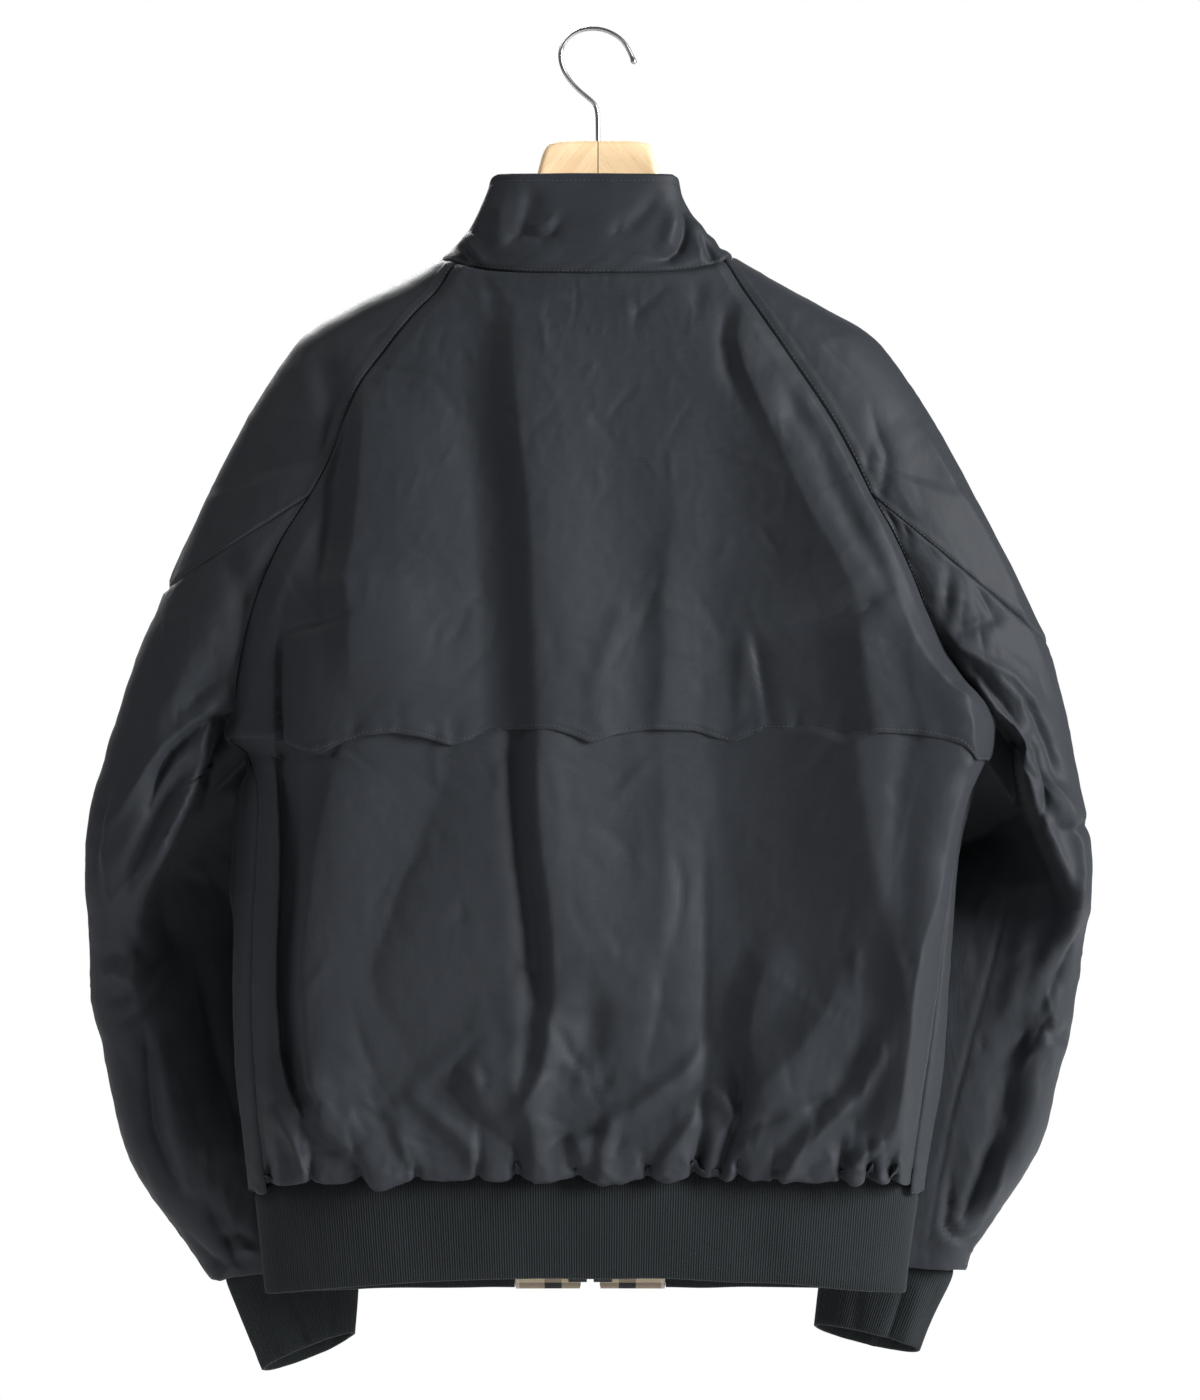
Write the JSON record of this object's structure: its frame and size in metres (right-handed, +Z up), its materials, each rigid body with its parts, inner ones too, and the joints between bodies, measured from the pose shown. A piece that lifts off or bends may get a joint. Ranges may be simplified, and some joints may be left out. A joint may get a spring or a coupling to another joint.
{
  "type": "harrington jacket on a wooden hanger",
  "caption": "Waist-length zipped blouson with raglan sleeves, stand collar, scalloped back yoke flap and rib-knit hem and cuffs, hung empty on a wooden hanger with a wire hook.",
  "frame": {"origin": "inside top of the hanger's hook, where a rail carries it", "axes": "+Z up; +Y towards the wearer's back; +X towards the wearer's left"},
  "size_m": [0.6455, 0.1682, 0.8667],
  "materials": {
    "shell": "tightly woven cotton blend, matt with a faint sheen",
    "rib_knit": "rib knit, matt",
    "check_lining": "plain two-colour check, matt",
    "zip_tape": "woven tape, matt",
    "zip_metal": "satin",
    "beech": "clear satin lacquer",
    "hook_steel": "polished wire"
  },
  "bodies": {
    "jacket_and_hanger": {"back": "shell", "collar": "shell", "cuff_left": "rib_knit", "cuff_right": "rib_knit", "front_left": "shell", "front_right": "shell", "hanger_arm_left": "beech", "hanger_arm_right": "beech", "hanger_hook": "hook_steel", "hem_rib": "rib_knit", "hem_tab_left": "shell", "hem_tab_right": "shell", "sleeve_cap_left": "shell", "sleeve_cap_right": "shell", "sleeve_left": "shell", "sleeve_right": "shell", "tab_lining_left": "check_lining", "tab_lining_right": "check_lining", "yoke_flap": "shell", "zip_chain": "zip_metal", "zip_slider": "zip_metal", "zip_tape_left": "zip_tape", "zip_tape_right": "zip_tape"},
    "zip_pull": {"zip_pull_tab": "zip_metal"}
  },
  "joints": [
    {"name": "zip_pull_swing", "type": "hinge", "parent": "jacket_and_hanger", "child": "zip_pull", "pos_m": [0.005, -0.05435, -0.2108], "axis": [-1, 0, 0], "range_deg": [0, 150]}
  ]
}
